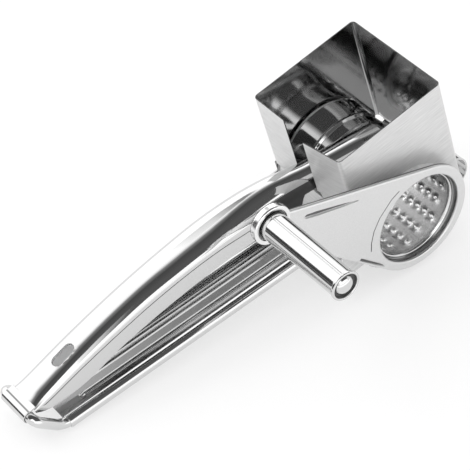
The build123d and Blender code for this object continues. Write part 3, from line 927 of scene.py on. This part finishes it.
def add_curl():
    """Rear end of the lever, rolled round the cross-bar of the wire."""
    r = WIRE_R + HINGE_GAP + CURL_T
    x, top, half = STATIONS[0][:3]
    path = [(x + CURL_LAP[0], top + CURL_LAP[1])]
    path.append((HINGE_X + CURL_LEAD[0], HINGE_Z + r + CURL_LEAD[1]))
    stop = pi * 2 - acos(CURL_GAP / r)
    path += arc(HINGE_X, HINGE_Z, r, pi / 2 - CURL_LEAN, stop, WRAP_STEPS)
    verts = [(x, y, z) for x, z in path for y in (-half, half)]
    faces = grid_faces(len(path), 2, flip=True)
    sheet = [MIRROR]
    piece = mesh_piece("lever_curl_visual", verts, faces, "lever", ["lever_shell"], sheet)
    thicken(piece, CURL_T, SOFT_EDGE)


def add_presser():
    """Curved saddle with two ribs and a slow wave."""
    spread = spaced(-PRESS_HALF, PRESS_HALF, PRESS_COLUMNS)
    swell = {y: bump((abs(y) - PRESS_RIB_Y) / PRESS_RIB_HALF) for y in spread}
    crown = {y: PRESS_CROWN * cos(y / PRESS_RIB_Y * pi) for y in spread}
    outer = [(PRESS_IN + PRESS_T + PRESS_RIB * swell[y] + crown[y], y) for y in spread]
    inner = [(PRESS_IN + PRESS_GROOVE * swell[y], y) for y in reversed(spread)]
    verts, faces = turned(outer + inner, AX_X, AX_Z, ROUND_STEPS, PRESS_FRONT, PRESS_REAR)
    look = ("polished_sheet", MIRROR, THIN_EDGE)
    solid_piece("presser_visual", verts, faces, "lever", "presser_plate", *look)


def edge_turn(sign, half):
    """Direction square to one edge of the crank's arm."""
    return CRANK_LEAN + sign * (pi / 2 - asin((RING_R - half) / hypot(ARM_DX, ARM_DZ)))


def drop_loop(grow):
    """Teardrop of the crank about the drum axis, grown or shrunk."""
    cup = BOSS_R + grow - CUP_INSET
    upper = edge_turn(-1, ARM_UPPER)
    lower = edge_turn(1, ARM_LOWER)
    cup_start = upper - acos((ARM_UPPER + grow) / cup)
    cup_stop = lower + acos((ARM_LOWER + grow) / cup)
    ring_points = arc(0.0, 0.0, RING_R + grow, lower, upper + 2 * pi, ROUND_STEPS)
    cup_points = arc(ARM_DX, ARM_DZ, cup, cup_start, cup_stop, PART_STEPS)
    edge_up = between(ring_points[-1], cup_points[0], LONG_STEPS)
    edge_low = between(cup_points[-1], ring_points[0], LONG_STEPS)
    return ring_points + edge_up + cup_points + edge_low


def between(p, q, steps):
    """Points between two points, without them."""
    return [tuple(Vector(p).lerp(Vector(q), i / steps)) for i in range(1, steps)]


def groove_loop(sign, half, place, share_wide):
    """Outline of a long tapered groove beside one edge of the crank, narrowed by a share."""
    start, stop, inset = place
    a = edge_turn(sign, half)
    nx = cos(a)
    nz = sin(a)
    cut = (1 - share_wide) * GROOVE_CUT
    run = stop - start - 2 * cut
    upper = [(start + cut + share * run, wide * share_wide) for share, wide in GROOVE_TAPER]
    lower = [(s, -n) for s, n in reversed(upper)]
    loop = []
    for s, n in upper + lower:
        out = RING_R - inset + n
        loop.append((s * sign * nz + out * nx, out * nz - s * sign * nx))
    return loop


def crease_arcs():
    """Three lines of a shallow crease beside the mouth: its two sides and its bottom."""
    arcs = []
    for off in (-CREASE_HALF, 0.0, CREASE_HALF):
        line = [((r + off) * cos(radians(a)), (r + off) * sin(radians(a))) for a, r in CREASE_ARC]
        fine = [line[0]]
        for p, q in zip(line, line[1:]):
            fine += between(p, q, CREASE_STEPS) + [q]
        arcs.append(fine)
    return arcs


def crank_skirt():
    """Loops of the folded skirt up to the crank's face, with their heights."""
    folds = [(0.0, -PLATE_T - PLATE_RIM)]
    for a in spaced(0.0, pi / 2, FEW_STEPS):
        folds.append((-PLATE_FOLD * (1 - cos(a)), -PLATE_FOLD * (1 - sin(a))))
    return [(drop_loop(grow), high) for grow, high in folds]


def crank_mouth():
    """Loops of the folded mouth from the crank's face down, with their heights."""
    folds = []
    for a in spaced(0.0, pi / 2, FEW_STEPS):
        folds.append((MOUTH_R + MOUTH_FOLD * (1 - sin(a)), -MOUTH_FOLD * (1 - cos(a))))
    folds.append((MOUTH_R, -PLATE_T - MOUTH_DEEPER))
    return [(circle(0, 0, radius, FINE_STEPS), high) for radius, high in folds]


def spot_key(point):
    return tuple(round(value, KEY_DIGITS) for value in point)


def add_crank():
    """Teardrop plate with its folded skirt and mouth, its grooves and its crease."""
    verts = []
    faces = []
    skirt = crank_skirt()
    mouth = crank_mouth()
    for loops in (skirt, mouth):
        faces += shifted(grid_faces(len(loops), len(loops[0][0]), flip=True, wrap=True), len(verts))
        for loop, high in loops:
            verts += [(AX_X + u, PLATE_OUT - high, AX_Z + v) for u, v in loop]
    outline = skirt[-1][0]
    hole = mouth[0][0]
    grooves = [groove_loop(sign, half, place, 1.0) for sign, half, place, _ in GROOVES]
    deep = [groove_loop(*groove) for groove in GROOVES]
    arcs = crease_arcs()
    sunk = {spot_key(point): CREASE_DEEP for point in arcs[1][1:-1]}
    sunk.update({spot_key(point): GROOVE_DEEP for loop in deep for point in loop})
    flat, fill = triangles([outline, hole] + grooves + deep, arcs, [], within(outline, hole))
    faces += shifted(fill, len(verts))
    verts += [(AX_X + u, PLATE_OUT + sunk.get(spot_key((u, v)), 0.0), AX_Z + v) for u, v in flat]
    # Crank face, its back with painted light, its edges, and its painted shade
    sheet = [CRANK, CRANK_BACK_LIT, CRANK, CRANK_SHADE_PAINT]
    piece = mesh_piece("crank_visual", verts, faces, "crank", ["crank_plate"], sheet)
    paint_crank_shade(piece, deep + [arcs[0] + arcs[2][::-1]])
    thicken(piece, PLATE_SEEN, FINE_EDGE)


def paint_crank_shade(piece, shade):
    """Paints shade on the skirt and on the faces inside some outlines, the grooves and the crease."""
    for face in piece.data.polygons:
        spot = (face.center.x - AX_X, face.center.z - AX_Z)
        on_skirt = face.center.y > PLATE_OUT + PLATE_FOLD + SKIRT_CLEAR
        on_face = abs(face.center.y - PLATE_OUT) < GROOVE_DEEP + GROOVE_CLEAR
        if on_skirt or on_face and any(inside(loop, spot) for loop in shade):
            face.material_index = PAINTED_SHADE


def add_cup():
    """Cup of the crank in which the knob sits."""
    wall = BOSS_R - CUP_WALL
    skirt = BOSS_R - CUP_SKIRT
    low = PLATE_Y + PLATE_RIM
    high = PLATE_OUT - CUP_HIGH
    seat = PLATE_OUT + CUP_SEAT
    cup = [(BOSS_R, low), (BOSS_R, high), (wall, high), (wall, seat), (skirt, seat), (skirt, low)]
    loop = rounded(cup, CUP_EDGE, CUP_EDGE_STEPS)
    ring = turned_piece("crank_plate", loop, KNOB_X, KNOB_Z, FINE_STEPS, "crank", EDGE)
    ring.name = "crank_cup_visual"


def tooth_places():
    """Angle and y of each tooth of the drum."""
    places = []
    for row in range(TOOTH_ROWS):
        odd = row % 2
        a = TOOTH_TURN + row * 2 * pi / TOOTH_ROWS
        places += [(a, TOOTH_FIRST + (k + odd / 2) * TOOTH_PITCH) for k in range(TOOTH_COUNT - odd)]
    return places


def near_tooth(p, q):
    """Place of a point of the flat drum sheet, seen from the nearest tooth."""
    row = round((p - TOOTH_TURN * DRUM_R) / ROW_PITCH)
    odd = row % 2
    k = round((q - TOOTH_FIRST) / TOOTH_PITCH - odd / 2)
    k = min(max(k, 0), TOOTH_COUNT - odd - 1)
    return p - (TOOTH_TURN * DRUM_R + row * ROW_PITCH), q - TOOTH_FIRST - (k + odd / 2) * TOOTH_PITCH


def drum_point(p, q):
    """Place of a point of the flat drum sheet on the drum, with the rise of its tooth."""
    u, v = near_tooth(p, q)
    reach = hypot(u, v) / TOOTH_R
    on_tooth = u > TOOTH_BACK and reach < 1
    r = DRUM_R + (TOOTH_HIGH * (1 - reach ** 2) ** TOOTH_POWER if on_tooth else 0.0)
    a = p / DRUM_R
    return AX_X + r * sin(a), q, AX_Z + r * cos(a)


def fan(radius, first, steps, count):
    """Points on an arc, at shares of a half turn from the first one on."""
    turns = [pi * (first + i / steps) for i in range(count)]
    return [(radius * cos(a), radius * sin(a)) for a in turns]


def add_drum():
    """Perforated drum, cut flat: p runs once round it, and q is the place in y."""
    chord = [(0.0, HOLE_R * (-1 + i / CHORD_STEPS)) for i in range(1, 2 * CHORD_STEPS)]
    cut = fan(HOLE_R, 0.5, BEND_STEPS, BEND_STEPS + 1) + chord
    tooth = fan(TOOTH_R, -0.5, BEND_STEPS, BEND_STEPS + 1)
    tooth += fan(TOOTH_MID * TOOTH_R, TOOTH_MID_FIRST, TOOTH_MID_STEPS, TOOTH_MID_STEPS)
    loops = []
    spots = []
    for a, y in tooth_places():
        p = a * DRUM_R
        loops.append([(p + u, y + v) for u, v in cut])
        spots += [(p + u, y + v) for u, v in tooth]
    ends = spaced(0.0, DRUM_RUN, FINE_STEPS)
    outline = [(p, DRUM_NEAR) for p in ends] + [(p, DRUM_FAR) for p in reversed(ends)]
    levels = [DRUM_NEAR + GRID_INSET + GRID_REACH * j / GRID_ALONG for j in range(GRID_ALONG + 1)]
    for i in range(GRID_AROUND):
        p = DRUM_RUN * (i + 0.5) / GRID_AROUND
        spots += [(p, q) for q in levels if hypot(*near_tooth(p, q)) > TOOTH_R + TOOTH_CLEAR]

    def kept(point):
        u, v = near_tooth(*point)
        return not (u < 0 and hypot(u, v) < HOLE_R * HOLE_SHARE) and 0 < point[0] < DRUM_RUN

    flat, faces = triangles([outline] + loops, [], spots, kept)
    verts = [drum_point(p, q) for p, q in flat]
    piece = mesh_piece("drum_visual", verts, faces, "crank", ["grating_drum"], [DRUM])
    solid = piece.modifiers.new("thickness", "SOLIDIFY")
    solid.thickness = DRUM_T
    solid.offset = -1.0
    piece.data.set_sharp_from_angle(angle=radians(EDGE_ANGLE))


def arm_point(x, y, z):
    """From the frame of the lower handle, x along its tubes, to the working frame."""
    along = x * cos(DROP) + z * sin(DROP)
    up = z * cos(DROP) - x * sin(DROP)
    return TUBE_X + along, y, TUBE_Z + up


def tray_floor(y):
    return TRAY_CROWN * (1 - (y / TRAY_HALF) ** 2) - TUBE_R


def tray_section(share):
    """Outside of the tray from roll to roll, with its ribs at a share of their height."""
    turns = spaced(TUBE_WRAP, 0.0, WRAP_STEPS)
    near = [(-TUBE_Y - TUBE_R * sin(a), -TUBE_R * cos(a)) for a in turns]
    reach = RIB_R - ARM_T + RIB_BLEND
    edge = spaced(-TRAY_HALF, -RIB_Y - reach, FEW_STEPS)[:-1]
    floor = [(y, tray_floor(y)) for y in edge]
    for middle in (-RIB_Y, RIB_Y):
        for t in spaced(-1.0, 1.0, RIB_STEPS):
            y = middle + t * reach
            floor.append((y, tray_floor(y) + (RIB_R - RIB_SINK) * share * bump(t)))
    floor += [(-y, tray_floor(y)) for y in reversed(edge)]
    far = [(-y, z) for y, z in reversed(near)]
    return near + floor + far


def add_tray():
    """Tray of the lower handle with its rolled edges and its two ribs."""
    stop = ARM_LEN - RIB_SHORT
    rows = [TUBE_START] + spaced(RIB_START - RIB_TIP, RIB_START, FEW_STEPS)
    rows += spaced(RIB_START, stop, CURVE_STEPS)[1:]
    rows += spaced(stop, stop + RIB_END, RIB_END_STEPS)[1:] + [ARM_LEN]
    verts = []
    for x in rows:
        share = min((x - RIB_START + RIB_TIP) / RIB_TIP, (stop + RIB_END - x) / RIB_END, 1.0)
        section = tray_section(max(share, 0.0))
        verts += [arm_point(x, y, z) for y, z in section]
    faces = grid_faces(len(rows), len(section), flip=True)
    sheet = [MIRROR, TRAY_SHADED, EDGE]
    piece = mesh_piece("arm_tray_visual", verts, faces, "frame", ["arm_shell"], sheet)
    thicken(piece, TRAY_T, FINE_EDGE)


def slab(points, y0, y1):
    """Flat outline in x and z, carried along y."""
    count = len(points)
    verts = [(x, y0, z) for x, z in points] + [(x, y1, z) for x, z in points]
    faces = [tuple(range(count)), tuple(reversed(range(count, 2 * count)))]
    faces += [(i, i + count, (i + 1) % count + count, (i + 1) % count) for i in range(count)]
    return verts, faces


def add_cross():
    """Cross plate of the lower handle with its ears and the shield behind the drum."""
    wide = EAR_Y + EAR_T
    inner = WALL_IN - SHIELD_GAP
    low = CROSS_Z - CROSS_T
    x_shield = AX_X - sqrt(SHIELD_R ** 2 - (AX_Z - low) ** 2)
    parts = [slab(box_loop(CROSS_BACK, CROSS_FRONT, low, CROSS_Z), -wide, wide)]
    parts.append(slab(box_loop(CROSS_FRONT, x_shield, low, CROSS_Z), -inner, inner))
    outline = [(CROSS_BACK, low), (CROSS_BACK, CROSS_Z + EAR_STEP), (EAR_BACK, EAR_TOP)]
    high = asin((EAR_TOP - AX_Z) / SHIELD_R)
    deep = asin((EAR_LOW - AX_Z) / SHIELD_R)
    for a in spaced(high, deep, CURVE_STEPS):
        outline.append((min(AX_X - SHIELD_R * cos(a), EAR_FRONT), AX_Z + SHIELD_R * sin(a)))
    outline.append((EAR_BACK, EAR_LOW))
    for y0 in (-wide, EAR_Y):
        parts.append(slab(outline, y0, y0 + EAR_T))
    ring = rounded(box_loop(SHIELD_R, SHIELD_R + SHIELD_T, -inner, inner), ROUND_EDGE)
    start = 180 - degrees(asin((SHIELD_TOP - AX_Z) / SHIELD_R))
    stop = 180 - degrees(asin((low - AX_Z) / SHIELD_R))
    parts.append(turned(ring, AX_X, AX_Z, PART_STEPS, start, stop))
    verts = []
    faces = []
    for part_verts, part_faces in parts:
        faces += shifted(part_faces, len(verts))
        verts += part_verts
    look = ("polished_sheet", SATIN, SOFT_EDGE)
    solid_piece("arm_cross_visual", verts, faces, "frame", "arm_shell", *look)


def arc_points(hub, start, end, steps):
    """Points on an arc about a hub from one point to another."""
    a = start - hub
    b = end - hub
    whole = a.angle(b)
    shares = spaced(0.0, 1.0, steps)
    return [hub + (a * sin((1 - t) * whole) + b * sin(t * whole)) / sin(whole) for t in shares]


def add_wire():
    """Bow of wire with its cross-bar in the lever's curl and its ends in the tubes."""
    down = Vector((cos(SLANT), 0, -sin(SLANT)))
    along = Vector((cos(DROP), 0, -sin(DROP)))
    square = Vector((sin(DROP), 0, cos(DROP)))
    inset = Vector((0, BOW_CORNER, 0))
    side = Vector((HINGE_X, TUBE_Y, HINGE_Z))
    reach = BOW_SWEEP * tan((SLANT - DROP) / 2)
    corner = side + BOW_CORNER * down
    knee = side + (BOW_LEG - reach) * down
    tube = side + BOW_LEG * down + reach * along
    far = arc_points(corner - inset, side - inset, corner, BOW_CORNER_STEPS)
    far += arc_points(tube + BOW_SWEEP * square, knee, tube, BOW_SWEEP_STEPS)
    far.append(Vector((TUBE_X, TUBE_Y, TUBE_Z)) + WIRE_IN_TUBE * along)
    near = [Vector((p.x, -p.y, p.z)) for p in reversed(far)]
    curve = bpy.data.curves.new("wire_bow_visual", "CURVE")
    curve.dimensions = "3D"
    curve.bevel_depth = WIRE_R
    curve.bevel_resolution = BEND_STEPS
    curve.use_fill_caps = True
    line = curve.splines.new("POLY")
    path = near + far
    line.points.add(len(path) - 1)
    for point, place in zip(line.points, path):
        point.co = (*place, 1)
    curve.materials.append(WIRE)
    piece = bpy.data.objects.new("wire_bow_visual", curve)
    piece.matrix_world = PLACE
    link(piece)
    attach(piece, "frame")
    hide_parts("wire_bow")


def add_lip():
    half = BOX / 2 - LIP_SHORT
    radius = (LIP_CHORD ** 2 / 4 + LIP_BULGE ** 2) / (2 * LIP_BULGE)
    turn = degrees(asin(LIP_CHORD / 2 / radius))
    loop = rounded(box_loop(radius - LIP_T, radius, -half, half), ROUND_EDGE)
    verts, faces = turned(loop, BOX + LIP_BULGE - radius, LIP_TOP - LIP_CHORD / 2, PART_STEPS, -turn, turn)
    look = ("polished_sheet", MIRROR, SOFT_EDGE)
    solid_piece("front_lip_visual", verts, faces, "frame", "front_lip", *look)


def drum_ring(name, loop, edge, body, material):
    turned_piece(name, rounded(loop, edge), AX_X, AX_Z, COLLAR_STEPS, body, material)


def add_drum_rings():
    """Two collars in the hopper's walls, and the rim and lock ring of the drum."""
    collars = (("near_collar", JOURNAL_R, NEAR_SLEEVE, -WALL_IN, NEAR_FLANGE_T, THIN_EDGE),
               ("far_collar", DRUM_R, WALL_IN, BOX / 2, FAR_FLANGE_T, ROUND_EDGE))
    for name, radius, start, wall, thick, edge in collars:
        bore = radius + RUN_GAP
        loop = [(bore, start), (COLLAR_R, start), (COLLAR_R, wall), (COLLAR_FLANGE, wall)]
        loop += [(COLLAR_FLANGE, wall + thick), (bore, wall + thick)]
        drum_ring(name, loop, edge, "frame", SATIN)
    rim = [(RIM_R, PLATE_Y), (RIM_R, RIM_STOP), (JOURNAL_R, RIM_STOP), (JOURNAL_R, JOURNAL_END),
           (DRUM_R, JOURNAL_END), (DRUM_R, DRUM_NEAR + RIM_SLOPE_IN),
           (RIM_BORE, DRUM_NEAR - RIM_SLOPE_OUT), (RIM_BORE, PLATE_Y)]
    drum_ring("drum_rim", rim, SOFT_EDGE, "crank", RING)
    lock = box_loop(DRUM_R, LOCK_R, LOCK_NEAR, LOCK_NEAR + LOCK_T)
    drum_ring("drum_lock_ring", lock, LOCK_EDGE, "crank", DRUM)


def knob_ring(name, loop, edge, body, material):
    turned_piece(name, rounded(loop, edge), KNOB_X, KNOB_Z, ROUND_STEPS, body, material)


def add_sleeve():
    """Rolled tube of the knob, whose seam is a fine groove along it."""
    bore = KNOB_R - KNOB_T
    lip = KNOB_R + KNOB_LIP
    sleeve = [(bore, KNOB_START), (KNOB_R, KNOB_START), (KNOB_R, KNOB_END + LIP_LENGTH),
              (lip, KNOB_END + LIP_LENGTH), (lip, KNOB_END), (bore, KNOB_END)]
    loop = rounded(sleeve, KNOB_EDGE, KNOB_EDGE_STEPS)
    piece = turned_piece("knob_sleeve", loop, KNOB_X, KNOB_Z, KNOB_STEPS, "knob", MIRROR)
    for vert in piece.data.vertices:
        dx = vert.co.x - KNOB_X
        dz = vert.co.z - KNOB_Z
        r = hypot(dx, dz)
        on_seam = abs(degrees(atan2(dz, dx)) - KNOB_SEAM) < SEAM_HALF
        if on_seam and r > bore + KNOB_T / 2:
            vert.co.x -= SEAM_DEEP * dx / r
            vert.co.z -= SEAM_DEEP * dz / r


def add_knob():
    """Sleeve of the knob, its bushes, its washers and its pin."""
    add_sleeve()
    starts = {"knob_bush_inner": KNOB_START - BUSH_LENGTH, "knob_bush_outer": KNOB_END + LIP_LENGTH}
    for name, y0 in starts.items():
        bush = box_loop(PIN_R + RUN_GAP, KNOB_R - KNOB_T, y0, y0 + BUSH_LENGTH)
        knob_ring(name, bush, SOFT_EDGE, "knob", BUSH)
    washer = box_loop(PIN_R, BOSS_R - CUP_WALL - WASHER_GAP, PLATE_OUT - WASHER_T, PLATE_OUT)
    # The washer at the foot of the cup gets the crank's painted shade, as shade in the cup
    knob_ring("knob_washer", washer, THIN_EDGE, "crank", CRANK_SHADE_PAINT)
    tail = PLATE_Y + WASHER_T
    washer = box_loop(PIN_R, TAIL_WASHER_R, PLATE_Y, tail)
    knob_ring("pin_washer", washer, THIN_EDGE, "crank", SATIN)
    seat = KNOB_END + PIN_SEAT
    pin = [(r, seat - high) for r, high in PIN_DOME] + [(PIN_R, seat), (PIN_R, tail)]
    pin += [(r, tail + high) for r, high in PIN_TAIL]
    turned_piece("knob_pin", pin, KNOB_X, KNOB_Z, ROUND_STEPS, "crank", WIRE, EDGE_ANGLE)


def add_rivets():
    """Rivets of the ears, with a domed head outside and a flat one inside."""
    outside = EAR_Y + EAR_T
    inside_head = WALL_IN - HEAD_IN
    loop = [(r, outside + high) for r, high in HEAD_DOME]
    loop += [(RIVET_R, outside), (RIVET_R, WALL_IN), (RIVET_HEAD, WALL_IN)]
    loop += [(RIVET_HEAD - HEAD_SLOPE, inside_head), (0.0, inside_head)]
    for side, sign in (("near", -1), ("far", 1)):
        half = [(r, sign * y) for r, y in loop]
        for level, (x, z) in EAR_HOLES.items():
            name = "ear_rivet_" + side + "_" + level
            turned_piece(name, half, x, z, RIVET_STEPS, "frame", SATIN)


def stage_plane(name, corners, material):
    mesh = bpy.data.meshes.new(name)
    mesh.from_pydata(corners, [], [(0, 1, 2, 3)])
    plane = bpy.data.objects.new(name, mesh)
    mesh.materials.append(material)
    link(plane)
    return plane


def add_floor():
    """White floor that the camera and mirrors see, and that keeps the object's shadow."""
    material, tree, shader = grey_material("floor", FLOOR_COLOUR, FLOOR_ROUGH, 0.0)
    path = new_node(tree, "LightPath")
    seen = new_node(tree, "Math")
    seen.operation = "MAXIMUM"
    tree.links.new(path.outputs["Is Camera Ray"], seen.inputs[0])
    tree.links.new(path.outputs["Is Glossy Ray"], seen.inputs[1])
    share = spread_between(tree, seen.outputs["Value"], 0.0, 1.0, 0.0, FLOOR_WHITE)
    white = new_node(tree, "Emission")
    mix = new_node(tree, "MixShader")
    tree.links.new(share, mix.inputs["Fac"])
    tree.links.new(shader.outputs["BSDF"], mix.inputs[1])
    tree.links.new(white.outputs["Emission"], mix.inputs[2])
    tree.links.new(mix.outputs["Shader"], tree.nodes["Material Output"].inputs["Surface"])
    s = FLOOR_HALF
    stage_plane("floor", [(x, y, 0) for x, y in box_loop(-s, s, -s, s)], material)


def card_material(name, axis, stops):
    """Glow that changes along an axis, given as places in m and levels."""
    material = bpy.data.materials.new(name)
    material.use_nodes = True
    tree = material.node_tree
    tree.nodes.clear()
    out = new_node(tree, "OutputMaterial")
    glow = new_node(tree, "Emission")
    ramp = new_node(tree, "ValToRGB")
    low = stops[0][0]
    high = stops[-1][0]
    points = ramp.color_ramp.elements
    while len(points) < len(stops):
        points.new(0.5)
    for point, (at, level) in zip(points, stops):
        point.position = (at - low) / (high - low)
        point.color = (level, level, level, 1)
    share = spread_between(tree, place_along(tree, axis), low, high, 0.0, 1.0)
    tree.links.new(share, ramp.inputs["Fac"])
    tree.links.new(ramp.outputs["Color"], glow.inputs["Color"])
    tree.links.new(glow.outputs["Emission"], out.inputs["Surface"])
    return material


def add_card(name, start, stop, axis, stops):
    """Card between two opposite corners, with an edge along x, or along y where x stays the same."""
    (x0, y0, z0), (x1, y1, z1) = start, stop
    side, other = ((x0, y1, z0), (x0, y0, z1)) if x0 == x1 else ((x1, y0, z0), (x0, y1, z1))
    card = stage_plane(name, [start, side, stop, other], card_material(name, axis, stops))
    card.visible_camera = False
    card.visible_diffuse = False
    card.visible_shadow = False


def add_lamp():
    """Large soft lamp above the left rear, for the shadow on the floor."""
    data = bpy.data.lights.new("soft_lamp", "AREA")
    data.size = LAMP_SIZE
    data.energy = LAMP_POWER
    lamp = bpy.data.objects.new("soft_lamp", data)
    lamp.location = LAMP_PLACE
    lamp.rotation_euler = (-lamp.location).to_track_quat("-Z", "Y").to_euler()
    lamp.visible_glossy = False
    link(lamp)


def set_world():
    world = bpy.data.worlds.new("studio")
    world.use_nodes = True
    bpy.context.scene.world = world
    set_inputs(world.node_tree.nodes["Background"], {"Color": (1, 1, 1, 1)})


bpy.context.scene.view_settings.view_transform = "Standard"
add_camera()
add_floor()
set_world()
add_lamp()
for card in CARDS:
    add_card(*card)
add_hopper()
add_lever()
add_curl()
add_presser()
add_crank()
add_cup()
add_drum()
add_tray()
add_cross()
add_wire()
add_lip()
add_drum_rings()
add_knob()
add_rivets()
